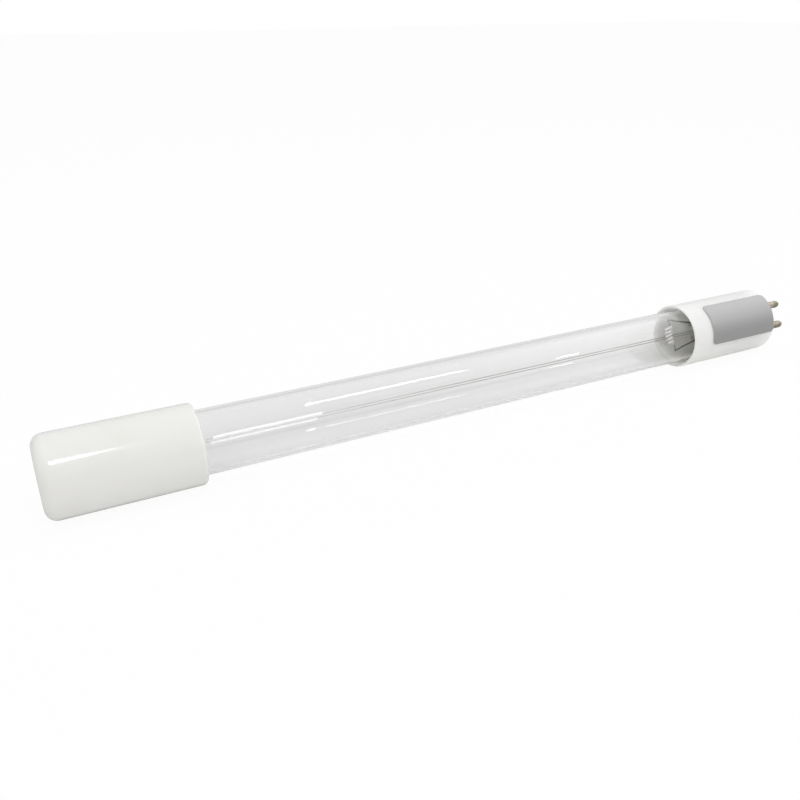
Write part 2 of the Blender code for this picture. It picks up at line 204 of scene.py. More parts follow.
def clear_glass():
    """Clear glass, which lets soft light straight through, though less of it at a slant."""
    glass = new_finish("clear_glass")
    solid = glass.shader({
        "Base Color": (0.94, 0.94, 0.94, 1.0),
        "Roughness": 0.0,
        "IOR": 1.47,
        "Transmission Weight": 1.0,
    })
    facing = glass.node("ShaderNodeLayerWeight", {}, {"Blend": 0.5}, output="Facing")
    slanting = glass.between(0.42, 0.62, facing)
    see_through = glass.node("ShaderNodeBsdfTransparent", {}, {"Color": (0.99, 0.99, 0.99, 1.0)})
    share = glass.on_rays("Shadow", "Diffuse") * (1.0 - 0.55 * slanting)
    return glass.ends_in(glass.node("ShaderNodeMixShader", {}, {0: share, 1: solid, 2: see_through}))


bounces = bpy.context.scene.cycles      # light runs round inside the glass wall many times
bounces.max_bounces = bounces.transmission_bounces = bounces.transparent_max_bounces = 32
bounces.glossy_bounces = 24
bounces.diffuse_bounces = 12
glass = clear_glass()
tube_start, tube_end = span("glass_tube")
tube_outline = quarter(tube_start + TUBE_EDGE, TUBE_RADIUS - TUBE_EDGE, TUBE_EDGE, 180, 90)
# The wall's points beside each rounded edge keep the shading of the long straight wall true.
tube_outline += [(tube_start + 2 * TUBE_EDGE, TUBE_RADIUS), (tube_end - 2 * TUBE_EDGE, TUBE_RADIUS)]
tube_outline += quarter(tube_end - TUBE_EDGE, TUBE_RADIUS - TUBE_EDGE, TUBE_EDGE, 90, 0)
tube_outline += quarter(tube_end - TUBE_EDGE, TUBE_BORE + TUBE_EDGE, TUBE_EDGE, 0, -90)
tube_outline += [(tube_end - 2 * TUBE_EDGE, TUBE_BORE), (tube_start + 2 * TUBE_EDGE, TUBE_BORE)]
tube_outline += quarter(tube_start + TUBE_EDGE, TUBE_BORE + TUBE_EDGE, TUBE_EDGE, -90, -180)
lamp_piece(turned(tube_outline, closed=True), "drawn_tube", glass, "clear_glass", "glass_tube")


# The stems
# A stem is a short glass tube, flared at one end to seal to the lamp's tube and pressed flat
# round two leads at the other. A sealed exhaust tube stands behind the press.

STEM_LENGTH = 13.5
STEM_RADIUS = 3.7
STEM_BORE = 2.9
FLARE_LENGTH = 5.0
FLARE_RADIUS = 6.45
PRESS_LENGTH = 5.0
PRESS_HALF = 1.3            # half of the press's thickness
PRESS_ROUND = 0.4
PRESS_FLOOR = 0.8           # from the press to the hollow of the stem
WELL_CORNER = 0.5           # at the bottom of that hollow
FLARE_RIM = 0.8             # width of the flare's flat edge
FLARE_INSET = 0.3           # of that edge, inside the tube's end
EXHAUST_RADIUS = 1.1
EXHAUST_REACH = 1.2
EXHAUST_FOOT = 0.3          # chamfer where the exhaust tube meets the press
TIP_FLAT = 12.0             # degrees from the axis at which the sealed tip is flat
STEM_STEPS = 64
FLARE_STEPS = 12
SHOULDER_STEPS = 8


def seen_from(end):
    """The place of a stem's end of the tube, with the rest of the stem behind it."""
    if end == "base":
        return Matrix.Translation((tube_end, 0.0, 0.0))
    return Matrix.Translation((tube_start, 0.0, 0.0)) @ Matrix.Rotation(pi, 4, "Z")


def add_ring(bm, along, thickness, width):
    """A ring across the lamp, with half of its thickness and of its width."""
    place = Matrix.Translation((along, 0.0, 0.0)) @ Matrix.Diagonal((1.0, thickness, width, 1.0))
    turn = Matrix.Rotation(pi / 2, 4, "Y")
    made = bmesh.ops.create_circle(bm, segments=STEM_STEPS, radius=1.0, matrix=place @ turn)["verts"]
    return list(dict.fromkeys(edge for vert in made for edge in vert.link_edges))


def stem(end):
    """Rings from the press, along the outside to the flare, and back inside to the exhaust tube."""
    bm = bmesh.new()
    top = -STEM_LENGTH
    foot = top + PRESS_LENGTH
    sizes = []
    for along, out in quarter(top + PRESS_ROUND, -PRESS_ROUND, PRESS_ROUND, 180, 90, 5):
        sizes.append((along, PRESS_HALF + out, STEM_RADIUS + out))
    for i in range(SHOULDER_STEPS + 1):
        share = i / SHOULDER_STEPS
        swell = share * share * (3 - 2 * share)
        half = PRESS_HALF + (STEM_RADIUS - PRESS_HALF) * swell
        sizes.append((foot - STEM_RADIUS * (1 - share), half, STEM_RADIUS))
    flare = [(-FLARE_LENGTH * cos(pi / 2 * i / FLARE_STEPS), sin(pi / 2 * i / FLARE_STEPS) ** 3)
             for i in range(FLARE_STEPS + 1)]
    for along, share in flare:
        out = STEM_RADIUS + (FLARE_RADIUS - STEM_RADIUS) * share
        sizes.append((along - FLARE_INSET, out, out))
    for along, share in reversed(flare):
        out = STEM_BORE + (FLARE_RADIUS - FLARE_RIM - STEM_BORE) * share
        sizes.append((along - FLARE_INSET, out, out))
    well = foot + PRESS_FLOOR
    inside = [(well + WELL_CORNER, STEM_BORE), (well, STEM_BORE - WELL_CORNER)]
    inside += [(well, EXHAUST_RADIUS + EXHAUST_FOOT), (well + EXHAUST_FOOT, EXHAUST_RADIUS)]
    inside += quarter(EXHAUST_REACH - EXHAUST_RADIUS, 0.0, EXHAUST_RADIUS, 90, TIP_FLAT, 6)
    for along, out in inside:
        sizes.append((along, out, out))
    rings = [add_ring(bm, *size) for size in sizes]
    for ring, following in zip(rings, rings[1:]):
        bmesh.ops.bridge_loops(bm, edges=ring + following)
    for ring in (rings[0], rings[-1]):
        bmesh.ops.edgeloop_fill(bm, edges=ring)
    bmesh.ops.transform(bm, matrix=seen_from(end), verts=bm.verts)
    return bm


lamp_piece(stem("base"), "pin_end_stem", glass, "clear_glass", "base_stem")
lamp_piece(stem("cap"), "closed_end_stem", glass, "clear_glass", "end_stem")


# The leads
# Two nickel wires come through the press of each stem. Each is bent into a small hook at its
# tip, which is squeezed shut on the cathode's tail.

LEAD_RADIUS = 0.25
LEAD_SPACING = 4.1
LEAD_STRAIGHT = 1.0         # that stands square out of the press
LEAD_BEND = 0.9
UPPER_LENGTH = 12.3         # from the press to the lead's tip
LOWER_LENGTH = 11.6
UPPER_POST = 4.95           # from the axis to the tip
LOWER_POST = 4.15
HOOK_ROUND = 0.3
HOOK_OPEN = 0.05            # that the hook's free end springs outwards
HOOK_RETURN = 1.1
HOOK_STEPS = 8
NECK_START = 0.6            # behind the tip, where the squeezed wire swings back to its line
NECK_END = 1.6
NECK_ASIDE = 0.21
END_SHARE = 0.7             # of the lead's radius that the squeezing leaves at the free end
HOOK_SHARE = 0.75
NECK_SHARE = 0.9
TAIL_AHEAD = 0.425          # from the lead's tip to the middle of the cathode's tail
PIN_ALONG = 6.35
PIN_ACROSS = 7.92
PIN_FOOT = 207.1
PIN_ENTRY = 0.45            # before the pin's foot, where the wire is in line with its pin
WIRE_IN_PIN = 3.0
CROSSING = 1.25             # past the tube's end in the cap, where the leads turn to the return wires


def nickel_wire(name, bright, dark):
    """Drawn nickel with fine lines along it, darker where it has been hot."""
    nickel = new_finish(name)
    stain = nickel.between(0.35, 0.7, nickel.cloud(2.5, 4.0))
    scratch = nickel.cloud(0.12, 3.0, (0.05, 1.0, 1.0))
    return nickel.ends_in(nickel.shader({
        "Base Color": nickel.tint(stain, dark, bright),
        "Metallic": 1.0,
        "Roughness": 0.28 + 0.2 * scratch,
        "Normal": nickel.relief(scratch, 0.01, 0.5),
    }))


def rounded_route(corners, bend, steps=6):
    """A route through corner points, with each corner rounded by a short curve."""
    points = [Vector(corners[0])]
    for before, corner, after in zip(corners, corners[1:], corners[2:]):
        corner = Vector(corner)
        back = Vector(before) - corner
        ahead = Vector(after) - corner
        cut = min(bend, back.length * 0.45, ahead.length * 0.45)
        first = corner + back.normalized() * cut
        last = corner + ahead.normalized() * cut
        for i in range(steps + 1):
            t = i / steps
            points.append(first * (1 - t) ** 2 + corner * 2 * t * (1 - t) + last * t ** 2)
    points.append(Vector(corners[-1]))
    return points


def wire_along(points, radius, shares=None, roundness=4):
    """A round wire along points, as a shape with closed ends; shares scale its radius point by point."""
    curve = bpy.data.curves.new("route", "CURVE")
    curve.dimensions = "3D"
    curve.bevel_depth = radius
    curve.bevel_resolution = roundness
    curve.use_fill_caps = True
    spline = curve.splines.new("POLY")
    spline.points.add(len(points) - 1)
    for i, point in enumerate(points):
        spline.points[i].co = (*point, 1.0)
        spline.points[i].radius = shares[i] if shares else 1.0
    route = bpy.data.objects.new("route", curve)
    bpy.context.scene.collection.objects.link(route)
    bpy.context.view_layer.update()
    mesh = bpy.data.meshes.new_from_object(route.evaluated_get(bpy.context.evaluated_depsgraph_get()))
    bm = bmesh.new()
    bm.from_mesh(mesh)
    bmesh.ops.remove_doubles(bm, verts=bm.verts, dist=1e-4)
    bpy.data.objects.remove(route)
    bpy.data.meshes.remove(mesh)
    return bm


def lead(end, side):
    """A lead's route from its hook, through the press, to its pin or its return wire."""
    post, length = (UPPER_POST, UPPER_LENGTH) if side > 0 else (LOWER_POST, LOWER_LENGTH)
    tip = -STEM_LENGTH - length
    press = -STEM_LENGTH - LEAD_STRAIGHT
    seal = side * LEAD_SPACING / 2
    hook_x = tip - TAIL_AHEAD
    height = side * post
    points = [Vector((hook_x + HOOK_RETURN, HOOK_ROUND + HOOK_OPEN, height))]
    for i in range(HOOK_STEPS + 1):
        angle = pi / 2 + pi * i / HOOK_STEPS
        points.append(Vector((hook_x + HOOK_ROUND * cos(angle), HOOK_ROUND * sin(angle), height)))
    points.append(Vector((tip + NECK_START, -NECK_ASIDE, height)))
    shares = [END_SHARE] + [HOOK_SHARE] * (HOOK_STEPS + 1) + [NECK_SHARE]
    slope = (seal - height) / (press - tip)
    corners = [(tip + NECK_END, 0.0, height + slope * NECK_END), (press, 0.0, seal)]
    corners += [(-FLARE_LENGTH, 0.0, seal)]
    if end == "base":
        y = -PIN_ACROSS / 2
        z = side * PIN_ALONG / 2
        inside = PIN_FOOT - tube_end
        corners += [(0.0, 0.0, seal), (inside - PIN_ENTRY, y, z), (inside + WIRE_IN_PIN, y, z)]
    else:
        corners += [(CROSSING, 0.0, seal), (CROSSING, -TUBE_BORE / 2, seal)]
    route = rounded_route(corners, LEAD_BEND)
    points += route
    shares += [1.0] * len(route)
    bm = wire_along(points, LEAD_RADIUS, shares)
    bmesh.ops.transform(bm, matrix=seen_from(end), verts=bm.verts)
    return bm


lead_finish = nickel_wire("lead_nickel", (0.2, 0.185, 0.165, 1.0), (0.09, 0.082, 0.07, 1.0))
for place, side in (("upper", 1), ("lower", -1)):
    lamp_piece(lead("base", side), f"pin_end_hook_lead_{place}", lead_finish, "nickel_wire",
               f"base_lead_{place}")
    lamp_piece(lead("cap", side), f"closed_end_hook_lead_{place}", lead_finish, "nickel_wire",
               f"end_lead_{place}")


# The cathodes
# A tungsten wire, coiled fine and then coiled again into five loose turns, and dipped in a pale
# oxide coating. Its two bare tails are gripped by the hooks of the leads.

COIL_STRAND = 0.3           # radius of the fine coil with its coating
COIL_WIRE = 0.125           # radius of the bare tails
COIL_RADIUS = 0.75          # of the loose turns, to the middle of the strand
COIL_TURNS = 5
COIL_TOP = 3.0              # the first and the last turn, from the axis
COIL_BOTTOM = -2.1
COIL_AHEAD = 0.8            # from the upper lead's tip to the coil's centre line
COIL_BOW = 0.4
COATING_PAST = 0.25         # the coil's last turns, and then it fades
COATING_END = 0.45
TAIL_REACH = 0.6            # past its lead
TAIL_BEND = 0.5
RIBS_PER_TURN = 30
POINTS_PER_RIB = 4
RIB_DEPTH = 0.14            # share of the strand's radius


def coated_tungsten():
    """A chalky oxide coating, worn at a few places, between two dark bare tails."""
    coating = new_finish("coated_tungsten")
    tilt = radians(FRONT_TILT)
    point = coating.place()
    across = coating.node("ShaderNodeSeparateXYZ", {}, {0: point}, output="Y")
    up = coating.node("ShaderNodeSeparateXYZ", {}, {0: point}, output="Z")
    height = across * sin(tilt) + (up - lamp_place.translation.z) * cos(tilt)
    upper_tail = coating.between((COIL_TOP + COATING_PAST) * MM, (COIL_TOP + COATING_END) * MM, height)
    coated = coating.between((COIL_BOTTOM - COATING_END) * MM, (COIL_BOTTOM - COATING_PAST) * MM, height)
    tails = upper_tail + (1.0 - coated)
    crumb = coating.cloud(0.25, 4.0)
    bare = coating.between(0.56, 0.7, coating.cloud(0.9, 3.0))
    powder = coating.tint(bare, (0.84, 0.82, 0.82, 1.0), (0.42, 0.39, 0.39, 1.0))
    return coating.ends_in(coating.shader({
        "Base Color": coating.tint(tails, powder, (0.07, 0.065, 0.055, 1.0)),
        "Roughness": 0.85 - 0.4 * tails,
        "Normal": coating.relief(crumb, 0.05, 0.6),
    }))


def cathode(end):
    """The ribbed coil between two bare tails, which cross the tips of the leads."""
    upper_x = -STEM_LENGTH - UPPER_LENGTH - TAIL_AHEAD
    lower_x = -STEM_LENGTH - LOWER_LENGTH - TAIL_AHEAD
    centre = -STEM_LENGTH - UPPER_LENGTH - COIL_AHEAD
    bare = COIL_WIRE / COIL_STRAND
    ribs = COIL_TURNS * RIBS_PER_TURN
    count = ribs * POINTS_PER_RIB
    points = []
    shares = []
    for i in range(count + 1):
        t = i / count
        angle = tau * COIL_TURNS * t
        x = centre - COIL_BOW * sin(pi * t) + COIL_RADIUS * cos(angle)
        points.append(Vector((x, -COIL_RADIUS * sin(angle), COIL_TOP + (COIL_BOTTOM - COIL_TOP) * t)))
        shares.append(1.0 - RIB_DEPTH * (0.5 - 0.5 * cos(tau * ribs * t)))
    first = [(upper_x, 0.0, UPPER_POST + TAIL_REACH), (upper_x, 0.0, UPPER_POST - TAIL_REACH), points[0]]
    last = [points[-1], (lower_x, 0.0, TAIL_REACH - LOWER_POST), (lower_x, 0.0, -LOWER_POST - TAIL_REACH)]
    upper = rounded_route(first, TAIL_BEND)[:-1]
    lower = rounded_route(last, TAIL_BEND)[1:]
    points = upper + points + lower
    shares = [bare] * len(upper) + shares + [bare] * len(lower)
    bm = wire_along(points, COIL_STRAND, shares, roundness=3)
    bmesh.ops.transform(bm, matrix=seen_from(end), verts=bm.verts)
    return bm


cathode_finish = coated_tungsten()
lamp_piece(cathode("base"), "pin_end_coil", cathode_finish, "coated_tungsten", "base_cathode", sharp=60.0)
lamp_piece(cathode("cap"), "closed_end_coil", cathode_finish, "coated_tungsten", "end_cathode", sharp=60.0)


# The return wires
# Two fine wires with a coat of pale enamel run along the back of the tube, and feed the far
# cathode from the pins. They lie straight and taut on the glass, and go through the gap in the
# cement at each end. Their colour is painted light: a painted highlight near the closed end, which
# fades into painted darker reflection towards the base.

RETURN_RADIUS = 0.15
RETURN_PITCH = 0.75
RETURN_OUT = 8.02           # from the axis to the middle of the wire
RETURN_BELOW = 0.4          # of the pair, below the middle of the back
WELD_GAP = 0.3              # from the tip of a lead to its return wire
# Between these places along the lamp, the wire's painted highlight fades into painted darker reflection.
PAINTED_DARK_START = 65.0
PAINTED_DARK_END = 130.0


def return_wire(side):
    """A wire from its lead in the cap, along the back of the tube, to its pin."""
    along = side * RETURN_PITCH / 2 - RETURN_BELOW
    start_x = tube_start - CROSSING
    start_y = TUBE_BORE / 2 + WELD_GAP
    across_x = (tube_end + PIN_FOOT) / 2 - 2 * RETURN_RADIUS
    y = PIN_ACROSS / 2
    z = side * PIN_ALONG / 2
    corners = [(start_x, start_y, side * LEAD_SPACING / 2), (start_x, RETURN_OUT, along),
               (across_x, RETURN_OUT, along), (across_x, y, z), (PIN_FOOT + WIRE_IN_PIN, y, z)]
    return wire_along(rounded_route(corners, LEAD_BEND), RETURN_RADIUS)


def enamelled_wire():
    """Pale enamel with faint marks, its painted highlight fading to painted dark reflection towards the
    base.
    """
    enamel = new_finish("enamelled_wire")
    marks = enamel.cloud(0.6, 3.0, (0.1, 1.0, 1.0))
    along = enamel.node("ShaderNodeSeparateXYZ", {}, {0: enamel.place()}, output="X")
    # Painted light: the colour darkens towards the base, a painted highlight giving way to painted
    # reflection.
    painted_darkening = enamel.between(closed_end + PAINTED_DARK_START * MM, closed_end + PAINTED_DARK_END * MM, along)
    pale = enamel.tint(marks, (0.88, 0.88, 0.87, 1.0), (0.95, 0.95, 0.94, 1.0))
    return enamel.ends_in(enamel.shader({
        "Base Color": enamel.tint(painted_darkening, pale, (0.52, 0.51, 0.49, 1.0)),
        "Roughness": 0.35,
    }))


return_finish = enamelled_wire()
for place, side in (("upper", 1), ("lower", -1)):
    lamp_piece(return_wire(side), f"back_wire_{place}", return_finish, "nickel_wire",
               f"return_wire_{place}")


# The basing cement
# A ring of sandy phenolic cement, pressed between the glass and each ceramic end and baked.
# It is open along the back, where the return wires pass.

CEMENT_GAP = 0.12
CEMENT_OPEN = 12.0          # degrees each side of the back
CEMENT_EDGE = 0.08
CEMENT_STEPS = 96
CERAMIC_BORE = 8.29


def basing_cement():
    """Pale gritty cement with a matt surface."""
    cement = new_finish("bonding_cement")
    sand = cement.cloud(0.35, 4.0)
    return cement.ends_in(cement.shader({
        "Base Color": cement.tint(sand, (0.88, 0.84, 0.74, 1.0), (0.96, 0.93, 0.85, 1.0)),
        "Roughness": 0.92,
        "Normal": cement.relief(sand, 0.15, 0.8),
    }))


def cement_ring(node):
    """A ring between the glass and a ceramic bore, spun from one side of its gap to the other."""
    start, end = span(node)
    bm = bmesh.new()
    inner = TUBE_RADIUS + CEMENT_GAP
    outer = CERAMIC_BORE - CEMENT_GAP
    section = ((start, inner), (end, inner), (end, outer), (start, outer))
    bm.faces.new([bm.verts.new((along, 0.0, out)) for along, out in section])
    bmesh.ops.bevel(bm, geom=bm.verts[:], offset=CEMENT_EDGE, segments=2, profile=0.5, affect="VERTICES",
                    material=-1)
    half_gap = radians(CEMENT_OPEN)
    back = Matrix.Rotation(-pi / 2 + half_gap, 3, "X")
    bmesh.ops.rotate(bm, cent=(0, 0, 0), matrix=back, verts=bm.verts)
    bmesh.ops.spin(bm, geom=bm.faces[:], cent=(0, 0, 0), axis=(1, 0, 0), angle=tau - 2 * half_gap,
                   steps=CEMENT_STEPS)
    return bm


cement_finish = basing_cement()
lamp_piece(cement_ring("base_cement"), "pin_end_cement", cement_finish, "bonding_cement", "base_cement")
lamp_piece(cement_ring("end_cap_cement"), "closed_end_cement", cement_finish, "bonding_cement",
           "end_cap_cement")


# The end cap
# A deep white ceramic cup, pressed in a mould, fired and glazed. Its closed end is well rounded,
# and its open end is cemented over the tube.

CAP_RADIUS = 9.75
CAP_CORNER = 2.8
CAP_LIP = 0.8
CAP_FLOOR = 2.5
CAP_FILLET = 1.5            # inside, round the floor
MOUTH_ROUND = 0.3
SUPPORT = 0.5               # from a rounded corner to the point that keeps the wall's shading true


def glazed_ceramic(name, white, gloss, depth):
    """Fired white ceramic under a slightly uneven glaze, with light that spreads to a depth in mm."""
    ceramic = new_finish(name)
    pooled = ceramic.cloud(14.0, 2.0)
    grain = ceramic.cloud(1.6, 4.0)
    warm = tuple(channel * share for channel, share in zip(white[:3], (0.985, 0.982, 0.97))) + (1.0,)
    return ceramic.ends_in(ceramic.shader({
        "Base Color": ceramic.tint(ceramic.between(0.35, 0.65, pooled), warm, white),
        "Roughness": gloss + 0.06 * grain,
        "IOR": 1.5,
        "Subsurface Weight": 1.0,
        "Subsurface Radius": (1.0, 1.0, 0.97),
        "Subsurface Scale": depth * MM,
        "Normal": ceramic.relief(pooled, 0.12, 0.25),
    }))


cap_finish = glazed_ceramic("cap_glaze", (0.844, 0.842, 0.822, 1.0), 0.08, 0.6)
cap_start, cap_end = span("end_cap")
cap_outline = [(cap_start, 0.0)]
cap_outline += quarter(cap_start + CAP_CORNER, CAP_RADIUS - CAP_CORNER, CAP_CORNER, 180, 90, 16)
cap_outline += [(cap_start + CAP_CORNER + SUPPORT, CAP_RADIUS), (cap_end - CAP_LIP - SUPPORT, CAP_RADIUS)]
cap_outline += quarter(cap_end - CAP_LIP, CAP_RADIUS - CAP_LIP, CAP_LIP, 90, 0)
cap_outline += quarter(cap_end - MOUTH_ROUND, CERAMIC_BORE + MOUTH_ROUND, MOUTH_ROUND, 0, -90)
cap_outline += quarter(CAP_FLOOR + CAP_FILLET, CERAMIC_BORE - CAP_FILLET, CAP_FILLET, 90, 180)
cap_outline += [(CAP_FLOOR, 0.0)]
lamp_piece(turned(cap_outline), "glazed_end_cap", cap_finish, "glazed_ceramic", "end_cap", sharp=50.0)


# The base
# The other ceramic cup, with a thick floor through which the four pins pass. Its bore flares
# a little at the mouth, and its thin rim is softly rounded.

BASE_RADIUS = 9.32
BASE_LIP = 0.38
BASE_FLARE = 0.65           # the bore widens by this at the mouth
FLARE_REACH = 1.3
MOUTH_STEPS = 12
BASE_CORNER = 0.4
BASE_FLOOR = 208.0
BASE_FILLET = 0.8           # inside, round the floor
PIN_RADIUS = 1.1
PIN_CLEARANCE = 0.12
CUT_PAST = 1.0              # that a drill reaches past the floor
HOLE_STEPS = 48

base_finish = glazed_ceramic("base_glaze", (0.985, 0.979, 0.912, 1.0), 0.3, 2.3)
base_mouth, pin_face = span("base_shell")
base_outline = [(BASE_FLOOR, 0.0)]
base_outline += quarter(BASE_FLOOR - BASE_FILLET, CERAMIC_BORE - BASE_FILLET, BASE_FILLET, 0, 90)
for share in [i / MOUTH_STEPS for i in range(MOUTH_STEPS + 1)]:
    base_outline += [(base_mouth + FLARE_REACH * (1 - share), CERAMIC_BORE + BASE_FLARE * share ** 1.5)]
base_outline += quarter(base_mouth + BASE_LIP, BASE_RADIUS - BASE_LIP, BASE_LIP, 180, 90)
base_outline += [(base_mouth + BASE_LIP + SUPPORT, BASE_RADIUS)]
base_outline += [(pin_face - BASE_CORNER - SUPPORT, BASE_RADIUS)]
base_outline += quarter(pin_face - BASE_CORNER, BASE_RADIUS - BASE_CORNER, BASE_CORNER, 90, 0)
base_outline += [(pin_face, 0.0)]
pin_centres = {}
for row, y in (("front", -PIN_ACROSS / 2), ("back", PIN_ACROSS / 2)):
    for level, z in (("upper", PIN_ALONG / 2), ("lower", -PIN_ALONG / 2)):
        pin_centres[f"{row}_{level}"] = (y, z)


def bored(bm, places, radius, start, end):
    """The shape with round holes along the lamp."""
    mesh = bpy.data.meshes.new("blank")
    bmesh.ops.recalc_face_normals(bm, faces=bm.faces)
    bm.to_mesh(mesh)
    bm.free()
    blank = bpy.data.objects.new("blank", mesh)
    bpy.context.scene.collection.objects.link(blank)
    drills = []
    for y, z in places:
        outline = [(start, 0.0), (start, radius), (end, radius), (end, 0.0)]
        shape = turned(outline, HOLE_STEPS, centre=(y, z))
        bmesh.ops.recalc_face_normals(shape, faces=shape.faces)
        drill = bpy.data.objects.new("drill", bpy.data.meshes.new("drill"))
        shape.to_mesh(drill.data)
        shape.free()
        bpy.context.scene.collection.objects.link(drill)
        cut = blank.modifiers.new("hole", "BOOLEAN")
        cut.operation = "DIFFERENCE"
        cut.solver = "EXACT"
        cut.object = drill
        drills.append(drill)
    bpy.context.view_layer.update()
    cut_mesh = bpy.data.meshes.new_from_object(blank.evaluated_get(bpy.context.evaluated_depsgraph_get()))
    made = bmesh.new()
    made.from_mesh(cut_mesh)
    for spare in [blank] + drills:
        bpy.data.objects.remove(spare)
    return made


base_shape = bored(turned(base_outline), pin_centres.values(), PIN_RADIUS + PIN_CLEARANCE,
                   BASE_FLOOR - CUT_PAST, pin_face + CUT_PAST)
lamp_piece(base_shape, "glazed_base", base_finish, "glazed_ceramic", "base_shell", sharp=50.0)


# The contact pins
# Four hollow brass pins with bullet tips. Each is pushed through the base's floor from inside
# until its flange seats, and its wire is soldered at the tip. They have gone brown.

PIN_BORE = 0.55
PIN_STEPS = 48
FLANGE_RADIUS = 1.7
FLANGE_THICKNESS = 0.6
FLANGE_EDGE = 0.15
TIP_LENGTH = 1.5
TIP_STEPS = 12
SOLDER_DEPTH = 2.0          # that closes the bore at the tip


def tarnished_brass():
    """Brown and dull brass, with fine drawn lines along it."""
    brass = new_finish("tarnished_brass")
    stain = brass.between(0.3, 0.7, brass.cloud(1.4, 5.0))
    scratch = brass.cloud(0.25, 3.0, (0.15, 1.0, 1.0))
    return brass.ends_in(brass.shader({
        "Base Color": brass.tint(stain, (0.235, 0.198, 0.147, 1.0), (0.49, 0.44, 0.355, 1.0)),
        "Metallic": 0.85,
        "Roughness": 0.34 + 0.2 * scratch,
        "Normal": brass.relief(scratch, 0.02, 0.5),
    }))


brass_finish = tarnished_brass()
pin_start, pin_tip = span("contact_pin_front_upper")
pin_outline = [(pin_tip - SOLDER_DEPTH, 0.0), (pin_tip - SOLDER_DEPTH, PIN_BORE), (pin_start, PIN_BORE)]
pin_outline += [(pin_start, FLANGE_RADIUS - FLANGE_EDGE), (pin_start + FLANGE_EDGE, FLANGE_RADIUS)]
pin_outline += [(pin_start + FLANGE_THICKNESS, FLANGE_RADIUS), (pin_start + FLANGE_THICKNESS, PIN_RADIUS)]
for i in range(TIP_STEPS, -1, -1):
    angle = pi / 2 * i / TIP_STEPS
    pin_outline += [(pin_tip + TIP_LENGTH * (cos(angle) - 1), PIN_RADIUS * sin(angle))]
for name, centre in pin_centres.items():
    lamp_piece(turned(pin_outline, PIN_STEPS, centre=centre), f"brass_pin_{name}", brass_finish,
               "tarnished_brass", f"contact_pin_{name}")


# The label
# A thin silver film, cut with rounded corners and stuck round the front of the base with its own
# glue. It is plain.

LABEL_START = -28.0         # degrees round the base from the front
LABEL_END = 49.0
LABEL_INNER = 9.37
LABEL_OUTER = 9.52
LABEL_CORNER = 1.1
LABEL_STRIPS = 40


def silver_film():
    """Satin silver film with a very fine grain and the faint unevenness of its glue."""
    film = new_finish("silver_film")
    grain = film.cloud(0.12, 2.0)
    glue = film.cloud(5.0, 2.0)
    return film.ends_in(film.shader({
        "Base Color": film.tint(glue, (0.385, 0.385, 0.384, 1.0), (0.405, 0.405, 0.404, 1.0)),
        "Metallic": 0.68,
        "Roughness": 0.4 + 0.08 * grain,
        "Normal": film.relief(glue, 0.05, 0.3),
    }))


def label_shape():
    """A flat plate with rounded corners, cut into strips and bent round the base."""
    start, end = span("rating_label")
    bm = bmesh.new()
    flat = ((start, LABEL_START), (end, LABEL_START), (end, LABEL_END), (start, LABEL_END))
    bm.faces.new([bm.verts.new((along, angle, 0.0)) for along, angle in flat])
    per_degree = radians(LABEL_OUTER)
    bmesh.ops.scale(bm, vec=(1.0, per_degree, 1.0), verts=bm.verts)
    bmesh.ops.bevel(bm, geom=bm.verts[:], offset=LABEL_CORNER, segments=8, profile=0.5, affect="VERTICES",
                    material=-1)
    for i in range(1, LABEL_STRIPS):
        angle = LABEL_START + (LABEL_END - LABEL_START) * i / LABEL_STRIPS
        bmesh.ops.bisect_plane(bm, geom=bm.verts[:] + bm.edges[:] + bm.faces[:],
                               plane_co=(0.0, angle * per_degree, 0.0), plane_no=(0.0, 1.0, 0.0))
    bmesh.ops.recalc_face_normals(bm, faces=bm.faces)
    for vert in bm.verts:
        angle = vert.co.y / LABEL_OUTER
        vert.co = (vert.co.x, -LABEL_OUTER * cos(angle), LABEL_OUTER * sin(angle))
    bmesh.ops.solidify(bm, geom=bm.faces[:], thickness=LABEL_OUTER - LABEL_INNER)
    return bm


lamp_piece(label_shape(), "plain_label", silver_film(), "silver_film", "rating_label")


# The studio
# A white floor under a soft sky, in metres. Two small bright lamps in front are the key, whose
# reflection makes the streak on the cap. A long narrow lamp above the tube, with a short wide head,
# makes the streaks on the glass, and two more make its low white band and its fleck.

FLOOR_HALF = 3.0
FLOOR_DROP = 0.00003        # below the cap's lowest point
FLOOR_SHADOW = 0.06         # share of the shadow that the camera sees on the white
FLOOR_THROUGH = 0.25        # share of the glow that is seen through the glass
BAND_DIMMING = 0.15         # of the low dark band beyond the lamp, in its reflections
SKY_SIDES = 0.555
SKY_OVERHEAD = 0.36

floor_shape = bmesh.new()
bmesh.ops.create_grid(floor_shape, x_segments=1, y_segments=1, size=FLOOR_HALF)
bmesh.ops.translate(floor_shape, vec=(0.0, 0.0, -FLOOR_DROP), verts=floor_shape.verts)
floor_mesh = bpy.data.meshes.new("floor")
floor_shape.to_mesh(floor_mesh)
floor_shape.free()
floor = bpy.data.objects.new("floor", floor_mesh)
bpy.context.scene.collection.objects.link(floor)
floor_finish = new_finish("floor_white")
straight = floor_finish.on_rays("Camera")
through = floor_finish.on_rays("Transmission")
mirrored = floor_finish.on_rays("Glossy") - through     # a refracted ray is a glossy one as well
white = floor_finish.tint(mirrored, (0.91, 0.91, 0.91, 1.0), (0.68, 0.68, 0.68, 1.0))
paper = floor_finish.node("ShaderNodeBsdfDiffuse", {}, {"Color": white})
lit = floor_finish.tint(through, (1.0, 1.0, 1.0, 1.0), (0.88, 0.88, 0.88, 1.0))
glow = floor_finish.node("ShaderNodeEmission", {}, {"Color": lit, "Strength": 1.0})
share = straight * (1.0 - FLOOR_SHADOW) + FLOOR_THROUGH * through
floor_finish.ends_in(floor_finish.node("ShaderNodeMixShader", {}, {0: share, 1: paper, 2: glow}))
floor_mesh.materials.append(floor_finish.material)

